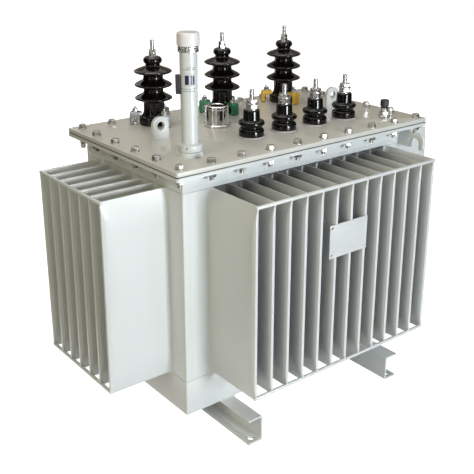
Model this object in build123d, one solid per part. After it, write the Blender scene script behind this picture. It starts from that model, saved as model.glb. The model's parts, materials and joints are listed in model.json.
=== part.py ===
from build123d import *
import os
from math import sqrt

# Oil-filled distribution transformer with a corrugated tank, in millimetres.
# +Z is up and the ground is at Z = 0, under the centre of the tank. +X runs along the long side.
# The front, with the row of low-voltage bushings, faces -Y.

# Skids
skid_height = 65.0
skid_width = 40.0
skid_sheet = 4.5
skid_overhang = 105.5
skid_end_inset = 96.0
foot_hole_radius = 7.0
foot_hole_inset = 16.0

# Tank frames
tank_length = 684.0
tank_width = 389.0
frame_sheet = 4.0
lower_frame_height = 86.0
upper_frame_height = 42.0
bottom_thickness = 6.0
flange_width = 38.0
flange_thickness = 8.0
gasket_thickness = 2.5
gasket_setback = 1.5
lid_thickness = 9.5
flange_corner_radius = 5.0

# Corrugated walls
wall_sheet = 3.0
fin_height = 446.0
fin_pitch = 45.0
fin_thickness = 12.0
fin_end_thickness = 4.0
fin_pinch_height = 75.0
fin_edge_radius = 5.0
front_fin_depth = 155.0
side_fin_depth = 160.0
fin_corner_clearance = 55.0
rod_diameter = 8.0
rod_overhang = 1.5

# Lifting hooks, square to the front and the back under the lid flange, at two opposite corners
hook_thickness = 8.0
hook_corner_inset = 14.0
hook_reach = 80.5
hook_bottom_drop = 46.0
hook_neck_drop = 9.0
hook_arm_drop = 5.0
hook_arm_length = 62.0
hook_bend_drop = 27.0
hook_tip_drop = 48.0
hook_tip_width = 15.0
hook_throat_drop = 20.0
hook_throat_shoulder = 8.0

# Lid lifting lugs
lug_width = 42.0
lug_height = 53.0
lug_thickness = 10.0
lug_hole_radius = 10.0
lug_y = 8.0
left_lug_inset = 118.0
right_lug_inset = 100.0

# High-voltage bushings
hv_row_inset = 90.5
hv_first_x = -191.5
hv_pitch = 208.5
hv_foot_radius = 37.0
hv_foot_height = 20.0
hv_foot_round = 4.0
hv_foot_flare = 4.0
hv_flare_height = 8.0
hv_body_radius = 24.0
hv_lower_radius = 25.5
hv_shed_radius = 47.0
hv_shed_count = 3
hv_first_shed = 64.8
hv_shed_pitch = 32.2
hv_shed_under = 8.0
hv_shed_rise = 13.0
hv_shed_lip = 2.5
hv_neck_radius = 17.0
hv_neck_height = 3.5
hv_cap_radius = 22.5
hv_cap_height = 19.0
hv_cap_dip = 3.0
hv_cap_nut_clearance = 1.0
hv_nut_radius = 9.5
hv_nut_height = 20.0
hv_stud_radius = 5.0
hv_stud_length = 21.5
stud_chamfer = 1.0

# Clamps that hold each high-voltage bushing down
clamp_count = 3
clamp_first_angle = 148.0
clamp_width = 20.0
clamp_thickness = 11.0
clamp_grip = 7.0
clamp_stud_offset = 9.0
clamp_stud_radius = 3.5
clamp_leg = 9.0
clamp_gap = 1.5
clamp_nut_radius = 7.5
clamp_nut_height = 8.0
clamp_stud_top = 6.0

# Low-voltage bushings
lv_row_inset = 132.5
lv_first_x = -82.0
lv_pitch = 99.5
lv_count = 4
lv_gasket_radius = 31.5
lv_gasket_thickness = 3.0
lv_base_radius = 29.5
lv_base_height = 22.0
lv_base_round = 8.0
lv_groove_radius = 22.0
lv_groove_height = 4.0
lv_shed_radius = 30.5
lv_shed_height = 13.0
lv_neck_radius = 19.0
lv_neck_height = 25.0
lv_neck_round = 3.0
lv_nut_radius = 14.5
lv_lower_nut_height = 13.0
lv_washer_radius = 15.5
lv_washer_thickness = 3.0
lv_upper_nut_height = 8.0
lv_stud_radius = 6.0
lv_stud_length = 22.0

# Oil filler pipe with its level gauge, set in from the front left corner of the lid
filler_inset_x = 96.5
filler_inset_y = 91.5
filler_boss_radius = 27.5
filler_boss_height = 12.0
filler_flange_radius = 26.3
filler_flange_height = 15.0
filler_pipe_radius = 18.5
filler_pipe_top = 233.0
filler_ring_radius = 21.7
filler_ring_height = 12.0
filler_cap_radius = 23.8
filler_cap_height = 27.5
filler_cap_round = 3.0
gauge_height = 39.0
gauge_bottom = 134.0
gauge_width = 18.0
gauge_depth = 9.0
gauge_angle = 150.0

# Pressure relief valve
valve_x = -83.0
valve_y = 31.0
valve_flange_radius = 33.4
valve_flange_height = 5.0
valve_body_radius = 28.0
valve_height = 51.0
valve_round = 5.0

# Thermometer pocket, set in from the front right corner of the lid
pocket_inset_x = 75.0
pocket_inset_y = 76.5
pocket_washer_radius = 15.6
pocket_washer_height = 5.0
pocket_hex_radius = 13.5
pocket_hex_height = 18.0
pocket_cap_radius = 10.8
pocket_cap_height = 21.0
pocket_cap_round = 2.5

# Plate on the front fins
plate_width = 115.0
plate_height = 78.0
plate_thickness = 1.5
plate_x = -7.0
plate_bottom = 430.0
plate_hole_radius = 2.5
plate_hole_inset = 7.0

# Heights and corners that follow from the sizes above
tank_bottom = skid_height
fins_bottom = tank_bottom + lower_frame_height
fins_top = fins_bottom + fin_height
flange_bottom = fins_top + upper_frame_height
gasket_bottom = flange_bottom + flange_thickness
lid_bottom = gasket_bottom + gasket_thickness
lid_top = lid_bottom + lid_thickness
lid_length = tank_length + 2 * flange_width
lid_width = tank_width + 2 * flange_width
skid_length = tank_width + 2 * skid_overhang
skid_inner_face = tank_length / 2 - skid_end_inset - skid_width
left_lug_x = left_lug_inset - lid_length / 2
right_lug_x = lid_length / 2 - right_lug_inset
hv_row_y = lid_width / 2 - hv_row_inset
lv_row_y = lv_row_inset - lid_width / 2
filler_x = filler_inset_x - lid_length / 2
filler_y = filler_inset_y - lid_width / 2
pocket_x = lid_length / 2 - pocket_inset_x
pocket_y = pocket_inset_y - lid_width / 2
filler_ring_bottom = filler_pipe_top - filler_ring_height


def square_block(length, width, height, bottom):
    """A slab centred on Z, standing on the given height."""
    return Pos(0, 0, bottom + height / 2) * Box(length, width, height)


def rounded_block(length, width, height, bottom):
    """The same with the small corner rounding of the lid and its flange."""
    return Pos(0, 0, bottom) * extrude(RectangleRounded(length, width, flange_corner_radius), height)


def tank_hollow(height, bottom):
    """The space inside the tank frames, to cut out of what rings it."""
    return square_block(tank_length - 2 * frame_sheet, tank_width - 2 * frame_sheet, height, bottom)


def turned(*steps):
    """A solid of revolution about Z. A step is a point (radius, height), or two points for an arc."""
    edges = []
    start = steps[0]
    at = start
    for step in steps[1:]:
        if isinstance(step[0], tuple):
            middle, end = step
            edges.append(ThreePointArc(at, middle, end))
        else:
            end = step
            edges.append(Line(at, end))
        at = end
    edges.append(Line(at, start))
    return revolve(Plane.XZ * make_face(edges), Axis.Z)


def hexagon(radius, height, bottom):
    """A hexagonal prism on the Z axis, its corners at the given radius."""
    return Pos(0, 0, bottom) * extrude(RegularPolygon(radius, 6), height)


def rounded(radius, height, size):
    """The arc that rounds the top outer corner of a turned piece, for use in turned()."""
    slack = size * (1 - 1 / sqrt(2))
    return (radius - slack, height - slack), (radius - size, height)


def on_lid(x, y, solid):
    return Pos(x, y, lid_top) * solid


def tank_frame(height, bottom):
    """A collar of plate round the tank."""
    return square_block(tank_length, tank_width, height, bottom) - tank_hollow(height, bottom)


def bottom_plate():
    return tank_hollow(bottom_thickness, tank_bottom)


def upper_frame():
    """The upper collar of the tank with the flange that carries the lid."""
    flange = rounded_block(lid_length, lid_width, flange_thickness, flange_bottom)
    flange -= tank_hollow(flange_thickness, flange_bottom)
    return tank_frame(upper_frame_height, fins_top) + flange


def lid_gasket():
    length = lid_length - 2 * gasket_setback
    width = lid_width - 2 * gasket_setback
    gasket = rounded_block(length, width, gasket_thickness, gasket_bottom)
    return gasket - tank_hollow(gasket_thickness, gasket_bottom)


def lid():
    return rounded_block(lid_length, lid_width, lid_thickness, lid_bottom)


def fin_places(side):
    """Evenly pitched fin centres along a tank side, clear of its corners."""
    count = int((side - 2 * fin_corner_clearance) // fin_pitch) + 1
    return [(i - (count - 1) / 2) * fin_pitch for i in range(count)]


def fin(depth, flat):
    """One oil-filled fin: root on Y = 0 and depth towards -Y.

    One face is flat and the other is pressed in to a weld seam at both ends. flat is 1 where the
    flat face looks towards +X and -1 where it looks towards -X.
    """
    half = fin_thickness / 2 * flat
    seam = half - fin_end_thickness * flat
    low = fin_pinch_height
    high = fin_height - fin_pinch_height
    elevation = make_face(
        [
            Line((seam, 0), (half, 0)),
            Line((half, 0), (half, fin_height)),
            Line((half, fin_height), (seam, fin_height)),
            TangentArc((-half, high), (seam, fin_height), tangent=(0, 1)),
            Line((-half, high), (-half, low)),
            TangentArc((-half, low), (seam, 0), tangent=(0, -1)),
        ]
    )
    plan = Pos(0, -depth / 2) * Rectangle(fin_thickness, depth)
    plan = fillet(plan.vertices().group_by(Axis.Y)[0], min(fin_edge_radius, 0.45 * fin_thickness))
    solid = extrude(Plane.XZ * elevation, depth) & extrude(plan, fin_height)
    for z in (rod_diameter / 2, fin_height - rod_diameter / 2):
        solid -= Pos(0, rod_diameter / 2 - depth, z) * Box(fin_thickness, rod_diameter, rod_diameter)
    return solid


def corrugated_wall(side, sheet_length, depth, flat):
    """A wall sheet with its fins, outer face on Y = 0 and facing -Y."""
    sheet = Pos(0, wall_sheet / 2, fin_height / 2) * Box(sheet_length, wall_sheet, fin_height)
    one = fin(depth, flat)
    return sheet + [Pos(x, 0, 0) * one for x in fin_places(side)]


def fin_rods(side, depth, flat):
    """The two stiffening rods that join the pressed corners of a pack of fins, from seam to seam."""
    places = fin_places(side)
    length = places[-1] - places[0] + fin_end_thickness + 2 * rod_overhang
    middle = flat * (fin_thickness - fin_end_thickness) / 2
    rod = Rot(0, 90, 0) * Cylinder(rod_diameter / 2, length)
    y = rod_diameter / 2 - depth
    heights = (rod_diameter / 2, fin_height - rod_diameter / 2)
    return Part() + [Pos(middle, y, z) * rod for z in heights]


def on_side(side, solid):
    """Carries a wall made to face -Y round to its own side of the tank."""
    places = {
        "front": Pos(0, -tank_width / 2, fins_bottom),
        "back": Pos(0, tank_width / 2, fins_bottom) * Rot(0, 0, 180),
        "left": Pos(-tank_length / 2, 0, fins_bottom) * Rot(0, 0, -90),
        "right": Pos(tank_length / 2, 0, fins_bottom) * Rot(0, 0, 90),
    }
    return places[side] * solid


def skid(side):
    """A channel under the tank, open outwards. side is -1 for the left one and 1 for the right one."""
    middle = side * (skid_inner_face + skid_width / 2)
    bar = Pos(middle, 0, skid_height / 2) * Box(skid_width, skid_length, skid_height)
    hollow = Box(skid_width, skid_length, skid_height - 2 * skid_sheet)
    bar -= Pos(middle + side * skid_sheet, 0, skid_height / 2) * hollow
    hole = Cylinder(foot_hole_radius, skid_sheet)
    for end in (-1, 1):
        y = end * (skid_length / 2 - foot_hole_inset)
        bar -= Pos(middle + side * skid_sheet / 2, y, skid_sheet / 2) * hole
    return bar


def lid_lug(x):
    top = lug_height - lug_width / 2
    outline = Pos(0, top / 2) * Rectangle(lug_width, top)
    outline += Pos(0, top) * Circle(lug_width / 2)
    outline -= Pos(0, top) * Circle(lug_hole_radius)
    plate = extrude(Plane.XZ * outline, lug_thickness / 2, both=True)
    return on_lid(x, lug_y, plate)


def hook_outline():
    """Side view of a hook: distance out from the tank wall, and height from the flange down."""
    tip_round = hook_tip_width / 2
    inner_tip = hook_reach - hook_tip_width
    tip_start = tip_round - hook_tip_drop
    bend_start = (hook_arm_length, -hook_arm_drop)
    bend_end = (hook_reach, -hook_bend_drop)
    slack = 1 - 1 / sqrt(2)
    bend = (
        hook_reach - slack * (hook_reach - hook_arm_length),
        -hook_arm_drop - slack * (hook_bend_drop - hook_arm_drop),
    )
    throat_outer = (inner_tip, -hook_bend_drop)
    throat_top = ((inner_tip + flange_width) / 2, -hook_throat_drop)
    throat_inner = (flange_width, hook_throat_shoulder - hook_bottom_drop)
    return make_face(
        [
            Line((0, 0), (flange_width, 0)),
            Line((flange_width, 0), (flange_width, -hook_neck_drop)),
            Line((flange_width, -hook_neck_drop), bend_start),
            ThreePointArc(bend_start, bend, bend_end),
            Line(bend_end, (hook_reach, tip_start)),
            ThreePointArc(
                (hook_reach, tip_start), (hook_reach - tip_round, -hook_tip_drop), (inner_tip, tip_start)
            ),
            Line((inner_tip, tip_start), throat_outer),
            ThreePointArc(throat_outer, throat_top, throat_inner),
            Line(throat_inner, (flange_width, -hook_bottom_drop)),
            Line((flange_width, -hook_bottom_drop), (0, -hook_bottom_drop)),
            Line((0, -hook_bottom_drop), (0, 0)),
        ]
    )


def lifting_hook(turn):
    """A hook near the right end of the front wall, carried round the tank by so many degrees."""
    plate = extrude(Plane.XZ * hook_outline(), hook_thickness)
    x = tank_length / 2 - hook_corner_inset
    return Rot(0, 0, turn) * Pos(x, -tank_width / 2, flange_bottom) * Rot(0, 0, -90) * plate


def hv_places():
    return {name: hv_first_x + i * hv_pitch for i, name in enumerate(("left", "middle", "right"))}


def hv_neck_top():
    return hv_first_shed + (hv_shed_count - 1) * hv_shed_pitch + hv_shed_rise + hv_neck_height


def hv_porcelain(x):
    steps = [
        (0, 0),
        (hv_foot_radius, 0),
        (hv_foot_radius, hv_foot_height - hv_foot_round),
        rounded(hv_foot_radius, hv_foot_height, hv_foot_round),
        (hv_lower_radius + hv_foot_flare, hv_foot_height),
        (hv_lower_radius, hv_foot_height + hv_flare_height),
    ]
    for i in range(hv_shed_count):
        z = hv_first_shed + i * hv_shed_pitch
        edge = hv_shed_radius - hv_shed_lip
        body = hv_neck_radius if i == hv_shed_count - 1 else hv_body_radius
        under = hv_body_radius if i else hv_lower_radius
        steps.append((under, z - hv_shed_under))
        steps.append((edge, z - hv_shed_lip))
        steps.append(((hv_shed_radius, z), (edge, z + hv_shed_lip)))
        steps.append((body, z + hv_shed_rise))
    neck_top = hv_neck_top()
    cap_top = neck_top + hv_cap_height
    half_cap = neck_top + hv_cap_height / 2
    steps.append((hv_neck_radius, neck_top))
    steps.append(((hv_cap_radius, half_cap), (hv_neck_radius, cap_top)))
    steps.append((hv_nut_radius + hv_cap_nut_clearance, cap_top - hv_cap_dip))
    steps.append((0, cap_top - hv_cap_dip))
    return on_lid(x, hv_row_y, turned(*steps))


def stud_end(radius, bottom, length):
    """The free end of a threaded stud, chamfered at its top."""
    top = bottom + length
    chamfer_bottom = (radius, top - stud_chamfer)
    chamfer_top = (radius - stud_chamfer, top)
    return turned((0, bottom), (radius, bottom), chamfer_bottom, chamfer_top, (0, top))


def hv_terminal(x):
    bottom = hv_neck_top() + hv_cap_height - hv_cap_dip
    nuts = hexagon(hv_nut_radius, hv_nut_height, bottom)
    stud = stud_end(hv_stud_radius, bottom + hv_nut_height, hv_stud_length)
    return on_lid(x, hv_row_y, nuts + stud)


def hv_clamp():
    """One claw beside a bushing foot: it bears on the foot and on its own leg, pulled down by a stud."""
    inner = hv_foot_radius - clamp_grip
    stud_at = hv_foot_radius + clamp_stud_offset
    outer = stud_at + clamp_stud_radius + clamp_gap + clamp_leg
    top = hv_foot_height + clamp_thickness
    claw = Pos((inner + outer) / 2, 0, hv_foot_height + clamp_thickness / 2)
    claw *= Box(outer - inner, clamp_width, clamp_thickness)
    leg = Pos(outer - clamp_leg / 2, 0, top / 2) * Box(clamp_leg, clamp_width, top)
    stud_height = top + clamp_nut_height + clamp_stud_top
    stud = Pos(stud_at, 0, stud_height / 2) * Cylinder(clamp_stud_radius, stud_height)
    nut = Pos(stud_at, 0, 0) * hexagon(clamp_nut_radius, clamp_nut_height, top)
    return claw + leg + stud + nut


def hv_clamps(x):
    one = hv_clamp()
    ring = [Rot(0, 0, clamp_first_angle + 360 / clamp_count * i) * one for i in range(clamp_count)]
    return on_lid(x, hv_row_y, Part() + ring)


def lv_places():
    return [lv_first_x + i * lv_pitch for i in range(lv_count)]


def lv_neck_top():
    return lv_base_height + lv_groove_height + lv_shed_height + lv_neck_height


def lv_porcelain(x):
    bottom = lv_gasket_thickness
    shed_low = lv_base_height + lv_groove_height
    shed_high = shed_low + lv_shed_height
    neck_top = lv_neck_top()
    waist = lv_shed_radius - lv_shed_height / 2
    solid = turned(
        (0, bottom),
        (lv_base_radius, bottom),
        (lv_base_radius, lv_base_height - lv_base_round),
        rounded(lv_base_radius, lv_base_height, lv_base_round),
        (lv_groove_radius, lv_base_height),
        (lv_groove_radius, shed_low),
        (waist, shed_low),
        ((lv_shed_radius, (shed_low + shed_high) / 2), (waist, shed_high)),
        (lv_neck_radius, shed_high),
        (lv_neck_radius, neck_top - lv_neck_round),
        rounded(lv_neck_radius, neck_top, lv_neck_round),
        (0, neck_top),
    )
    return on_lid(x, lv_row_y, solid)


def lv_terminal(x):
    bottom = lv_neck_top()
    washer = bottom + lv_lower_nut_height
    upper = washer + lv_washer_thickness
    stack = hexagon(lv_nut_radius, lv_lower_nut_height, bottom)
    stack += Pos(0, 0, washer + lv_washer_thickness / 2) * Cylinder(lv_washer_radius, lv_washer_thickness)
    stack += hexagon(lv_nut_radius, lv_upper_nut_height, upper)
    stack += stud_end(lv_stud_radius, upper + lv_upper_nut_height, lv_stud_length)
    return on_lid(x, lv_row_y, stack)


def lv_gasket(x):
    disc = Cylinder(lv_gasket_radius, lv_gasket_thickness)
    return on_lid(x, lv_row_y, Pos(0, 0, lv_gasket_thickness / 2) * disc)


def on_filler(solid):
    return on_lid(filler_x, filler_y, solid)


def filler_collar(radius, bottom, height):
    """A ring round the filler pipe."""
    ring = Cylinder(radius, height) - Cylinder(filler_pipe_radius, height)
    return on_filler(Pos(0, 0, bottom + height / 2) * ring)


def filler_pipe():
    return on_filler(Pos(0, 0, filler_pipe_top / 2) * Cylinder(filler_pipe_radius, filler_pipe_top))


def filler_cap():
    top = filler_pipe_top + filler_cap_height
    solid = turned(
        (0, filler_pipe_top),
        (filler_cap_radius, filler_pipe_top),
        (filler_cap_radius, top - filler_cap_round),
        rounded(filler_cap_radius, top, filler_cap_round),
        (0, top),
    )
    return on_filler(solid)


def level_gauge():
    """The black gauge housing that hugs the filler pipe on its left, a little towards the back."""
    reach = filler_pipe_radius + gauge_depth
    middle = gauge_bottom + gauge_height / 2
    housing = Rot(0, 0, gauge_angle) * Pos(reach / 2, 0, middle) * Box(reach, gauge_width, gauge_height)
    return on_filler(housing - Pos(0, 0, middle) * Cylinder(filler_pipe_radius, gauge_height))


def relief_valve():
    solid = turned(
        (0, 0),
        (valve_flange_radius, 0),
        (valve_flange_radius, valve_flange_height),
        (valve_body_radius, valve_flange_height),
        (valve_body_radius, valve_height - valve_round),
        rounded(valve_body_radius, valve_height, valve_round),
        (0, valve_height),
    )
    return on_lid(valve_x, valve_y, solid)


def pocket_base():
    washer = Pos(0, 0, pocket_washer_height / 2) * Cylinder(pocket_washer_radius, pocket_washer_height)
    hex_body = hexagon(pocket_hex_radius, pocket_hex_height, pocket_washer_height)
    return on_lid(pocket_x, pocket_y, washer + hex_body)


def pocket_cap():
    bottom = pocket_washer_height + pocket_hex_height
    top = bottom + pocket_cap_height
    solid = turned(
        (0, bottom),
        (pocket_cap_radius, bottom),
        (pocket_cap_radius, top - pocket_cap_round),
        rounded(pocket_cap_radius, top, pocket_cap_round),
        (0, top),
    )
    return on_lid(pocket_x, pocket_y, solid)


def nameplate():
    y = -tank_width / 2 - front_fin_depth
    outline = Rectangle(plate_width, plate_height)
    outline -= GridLocations(
        plate_width - 2 * plate_hole_inset, plate_height - 2 * plate_hole_inset, 2, 2
    ) * Circle(plate_hole_radius)
    plate = extrude(Plane.XZ * outline, plate_thickness)
    return Pos(plate_x, y, plate_bottom + plate_height / 2) * plate


def build():
    """Every sub-part of the transformer by name."""
    side_sheet = tank_width - 2 * wall_sheet
    parts = {
        "lower_frame": tank_frame(lower_frame_height, tank_bottom),
        "bottom_plate": bottom_plate(),
        "upper_frame": upper_frame(),
        "lid_gasket": lid_gasket(),
        "lid": lid(),
        "left_skid": skid(-1),
        "right_skid": skid(1),
        "left_lid_lug": lid_lug(left_lug_x),
        "right_lid_lug": lid_lug(right_lug_x),
        "front_right_hook": lifting_hook(0),
        "back_left_hook": lifting_hook(180),
        "filler_boss": filler_collar(filler_boss_radius, 0, filler_boss_height),
        "filler_flange": filler_collar(filler_flange_radius, filler_boss_height, filler_flange_height),
        "filler_pipe": filler_pipe(),
        "filler_ring": filler_collar(filler_ring_radius, filler_ring_bottom, filler_ring_height),
        "filler_cap": filler_cap(),
        "level_gauge": level_gauge(),
        "relief_valve": relief_valve(),
        "pocket_base": pocket_base(),
        "pocket_cap": pocket_cap(),
        "nameplate": nameplate(),
        "lv_gaskets": Part() + [lv_gasket(x) for x in lv_places()],
        "lv_terminals": Part() + [lv_terminal(x) for x in lv_places()],
        "hv_terminals": Part() + [hv_terminal(x) for x in hv_places().values()],
    }
    for side, flat in (("front", 1), ("back", -1)):
        wall = corrugated_wall(tank_length, tank_length, front_fin_depth, flat)
        parts[side + "_wall"] = on_side(side, wall)
        parts[side + "_fin_rods"] = on_side(side, fin_rods(tank_length, front_fin_depth, flat))
    for side, flat in (("left", -1), ("right", 1)):
        wall = corrugated_wall(tank_width, side_sheet, side_fin_depth, flat)
        parts[side + "_wall"] = on_side(side, wall)
        parts[side + "_fin_rods"] = on_side(side, fin_rods(tank_width, side_fin_depth, flat))
    for name, x in hv_places().items():
        parts["hv_porcelain_" + name] = hv_porcelain(x)
        parts["hv_clamps_" + name] = hv_clamps(x)
    for i, x in enumerate(lv_places()):
        parts[f"lv_porcelain_{i + 1}"] = lv_porcelain(x)
    return parts


os.makedirs("parts", exist_ok=True)
for node, solid in build().items():
    export_step(solid, f"parts/{node}.step")
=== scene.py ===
# %% [markdown]
# # An oil-filled power transformer, modelled around its CAD frame
#
# The real object is a welded steel tank with corrugated walls, whose fins hold the oil that cools
# the windings. On its bolted lid stand three tall high-voltage bushings, four short low-voltage
# bushings, a filler pipe, a relief valve and a thermometer pocket.
#
# The CAD frame already has every piece at its true size. This lesson takes each size from that
# frame, models the pieces again with the roundings, welds, threads and fasteners that the frame
# leaves out, and then gives every surface its finish.

# %% Load the frame
import json
import math
import random

import bmesh
import bpy
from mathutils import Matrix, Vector

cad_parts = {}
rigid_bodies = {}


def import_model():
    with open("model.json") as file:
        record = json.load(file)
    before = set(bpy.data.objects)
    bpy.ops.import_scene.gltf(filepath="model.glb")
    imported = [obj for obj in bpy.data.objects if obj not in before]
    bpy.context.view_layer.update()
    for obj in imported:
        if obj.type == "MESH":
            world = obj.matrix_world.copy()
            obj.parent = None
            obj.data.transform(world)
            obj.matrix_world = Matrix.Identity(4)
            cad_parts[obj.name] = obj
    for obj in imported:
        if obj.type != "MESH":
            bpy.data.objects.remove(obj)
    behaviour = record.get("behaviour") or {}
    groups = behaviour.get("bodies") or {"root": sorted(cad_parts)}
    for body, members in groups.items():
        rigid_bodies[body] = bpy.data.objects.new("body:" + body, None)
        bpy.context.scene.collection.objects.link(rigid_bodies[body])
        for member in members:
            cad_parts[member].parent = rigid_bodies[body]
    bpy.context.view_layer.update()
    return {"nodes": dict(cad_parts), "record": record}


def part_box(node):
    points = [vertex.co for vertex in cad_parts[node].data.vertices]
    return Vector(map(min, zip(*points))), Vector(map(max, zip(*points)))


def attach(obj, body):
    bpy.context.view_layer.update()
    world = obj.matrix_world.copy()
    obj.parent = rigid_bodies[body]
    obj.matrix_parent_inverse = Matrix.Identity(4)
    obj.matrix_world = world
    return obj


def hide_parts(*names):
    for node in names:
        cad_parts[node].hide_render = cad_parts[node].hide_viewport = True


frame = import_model()

# %% [markdown]
# ## A few hand tools
#
# Blender's operators act on whatever is selected, so each helper first deselects everything, and
# then picks an object, or faces and edges by their place. Sizes are easiest to read in millimetres,
# so `mm` turns them into metres.

# %% Selecting and placing
mm = 0.001
touching = 0.01 * mm


def only(*objects):
    """Selects these objects alone, in object mode, with the first one active."""
    if bpy.context.object and bpy.context.object.mode != "OBJECT":
        bpy.ops.object.mode_set(mode="OBJECT")
    bpy.ops.object.select_all(action="DESELECT")
    for obj in objects:
        obj.select_set(True)
    if objects:
        bpy.context.view_layer.objects.active = objects[0]


def settle(obj):
    """Writes an object's place, turn and scale into its mesh, so that it sits at the origin."""
    only(obj)
    bpy.ops.object.transform_apply(location=True, rotation=True, scale=True)
    return obj


def whole():
    """Selects all of the mesh that is open for editing."""
    bpy.ops.mesh.select_all(action="SELECT")


def merge():
    """Makes one of vertices that lie on each other."""
    whole()
    bpy.ops.mesh.remove_doubles(threshold=touching)


def face_outwards():
    """Turns every face outwards."""
    whole()
    bpy.ops.mesh.normals_make_consistent(inside=False)


def edit(obj):
    """Opens a mesh for editing with nothing selected."""
    only(obj)
    bpy.ops.object.mode_set(mode="EDIT")
    bpy.ops.mesh.select_all(action="DESELECT")


def pick(obj, kind, test):
    """Selects the vertices, edges or faces whose middle and direction pass a test."""
    bpy.ops.mesh.select_mode(type=kind)
    bpy.ops.mesh.select_all(action="DESELECT")
    shape = bmesh.from_edit_mesh(obj.data)
    if kind == "VERT":
        found = [v for v in shape.verts if test(v.co, v.normal)]
    elif kind == "EDGE":
        found = []
        for edge in shape.edges:
            a, b = (v.co for v in edge.verts)
            if test((a + b) / 2, (b - a).normalized()):
                found.append(edge)
    else:
        found = [f for f in shape.faces if test(f.calc_center_median(), f.normal)]
    for element in found:
        element.select_set(True)
    bmesh.update_edit_mesh(obj.data)


# %% Primitives in their places
def block(name, low, high):
    """A primitive cube stretched between two corners."""
    only()
    low, high = Vector(low), Vector(high)
    bpy.ops.mesh.primitive_cube_add(size=1, location=(low + high) / 2)
    obj = bpy.context.object
    obj.name = name
    obj.scale = high - low
    return settle(obj)


def cylinder(vertices, radius, depth, place, turn=(0, 0, 0)):
    """A primitive cylinder round a place."""
    only()
    bpy.ops.mesh.primitive_cylinder_add(
        vertices=vertices, radius=radius, depth=depth, location=place, rotation=turn
    )
    return settle(bpy.context.object)


def ball(segments, rings, radius, stretch=1.0, place=(0, 0, 0)):
    """A primitive sphere round a place, stretched along X."""
    only()
    bpy.ops.mesh.primitive_uv_sphere_add(
        segments=segments, ring_count=rings, radius=radius, location=place
    )
    bpy.context.object.scale.x = stretch
    return settle(bpy.context.object)


# %% Shaping and joining
def modify(obj, kind, **settings):
    """Adds a modifier, sets it and applies it."""
    only(obj)
    modifier = obj.modifiers.new(kind.title(), kind)
    for key, value in settings.items():
        setattr(modifier, key, value)
    bpy.ops.object.modifier_apply(modifier=modifier.name)
    return obj


def soften(obj, width, segments=2, angle=35):
    """Rounds every edge that turns by more than an angle, as paint and grinding do."""
    limit = math.radians(angle)
    return modify(obj, "BEVEL", width=width, segments=segments, limit_method="ANGLE", angle_limit=limit)


def carve(obj, tool, operation="DIFFERENCE"):
    """Takes a tool's shape out of a mesh, or keeps what the two have in common."""
    modify(obj, "BOOLEAN", operation=operation, object=tool, solver="EXACT")
    bpy.data.objects.remove(tool)
    return obj


def row(obj, count, step):
    """Repeats a mesh along X."""
    settings = {"use_relative_offset": False, "use_constant_offset": True}
    return modify(obj, "ARRAY", count=count, constant_offset_displace=(step, 0, 0), **settings)


def pull(way):
    """Extrudes what is selected by a vector."""
    bpy.ops.mesh.extrude_region_move(TRANSFORM_OT_translate={"value": way})


def drop_faces(obj, test):
    """Deletes the faces that pass a test."""
    pick(obj, "FACE", test)
    bpy.ops.mesh.delete(type="FACE")


def round_edges(obj, width, segments, test):
    """Bevels the edges that pass a test."""
    pick(obj, "EDGE", test)
    bpy.ops.mesh.bevel(offset=width, segments=segments, affect="EDGES")


def upright(_, along):
    """Passes the edges that stand upright."""
    return abs(along.z) > 0.9


def close(obj):
    """Merges doubles and turns every face outwards."""
    edit(obj)
    merge()
    face_outwards()
    if bmesh.from_edit_mesh(obj.data).calc_volume(signed=True) < 0:
        bpy.ops.mesh.flip_normals()
    bpy.ops.object.mode_set(mode="OBJECT")
    return obj


def joined(name, objects):
    """Several meshes made one."""
    only(*objects)
    if len(objects) > 1:
        bpy.ops.object.join()
    obj = bpy.context.object
    obj.name = name
    return obj


def repeat(model, places, name):
    """Copies a model to each (x, y, z, turn in degrees), each with its own mesh, and joins them."""
    copies = []
    for x, y, z, turn in places:
        only(model)
        bpy.ops.object.duplicate(linked=False)
        copy = bpy.context.object
        copy.location = (x, y, z)
        copy.rotation_euler.z = math.radians(turn)
        copies.append(settle(copy))
    bpy.data.objects.remove(model)
    return joined(name, copies)


def cut(obj, place, direction, drop_outer=False):
    """Slices the whole mesh by a plane, and drops what lies beyond it where that is asked."""
    whole()
    bpy.ops.mesh.bisect(plane_co=place, plane_no=direction, clear_outer=drop_outer, use_fill=drop_outer)


# %% Finished pieces
finish_of = {}


def piece(obj, name, slot, *nodes, look=None, smooth=35):
    """Names a finished mesh, hangs it on the body in place of its CAD nodes and notes its finish."""
    settle(obj)
    obj.name = name
    obj.data.name = name
    only(obj)
    bpy.ops.object.shade_smooth_by_angle(angle=math.radians(smooth))
    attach(obj, "root")
    if nodes:
        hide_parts(*nodes)
    finish_of[name] = look or slot
    print(f"{name}: {len(obj.data.polygons)} faces")
    return obj


# %% [markdown]
# ## Turned pieces
#
# Porcelain, pipes, caps and washers are all bodies of revolution. A lathe works from a half
# outline, and so does this helper: one vertex is extruded from corner to corner, the corners that
# have a rounding are bevelled, and the outline is spun about Z. Starting from a cylinder would
# mean moving every ring by hand, so the outline is the shorter way. Outlines, nuts, washers and
# threads are given in millimetres, as on a workshop drawing.


# %% Spin an outline
def dot(name, place):
    """A mesh of one selected vertex, open for editing."""
    only()
    bpy.ops.mesh.primitive_plane_add(size=mm)
    obj = bpy.context.object
    obj.name = name
    bpy.ops.object.mode_set(mode="EDIT")
    bpy.ops.mesh.select_mode(type="VERT")
    whole()
    bpy.ops.mesh.merge(type="CENTER")
    bpy.ops.transform.translate(value=place)
    return obj


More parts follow.
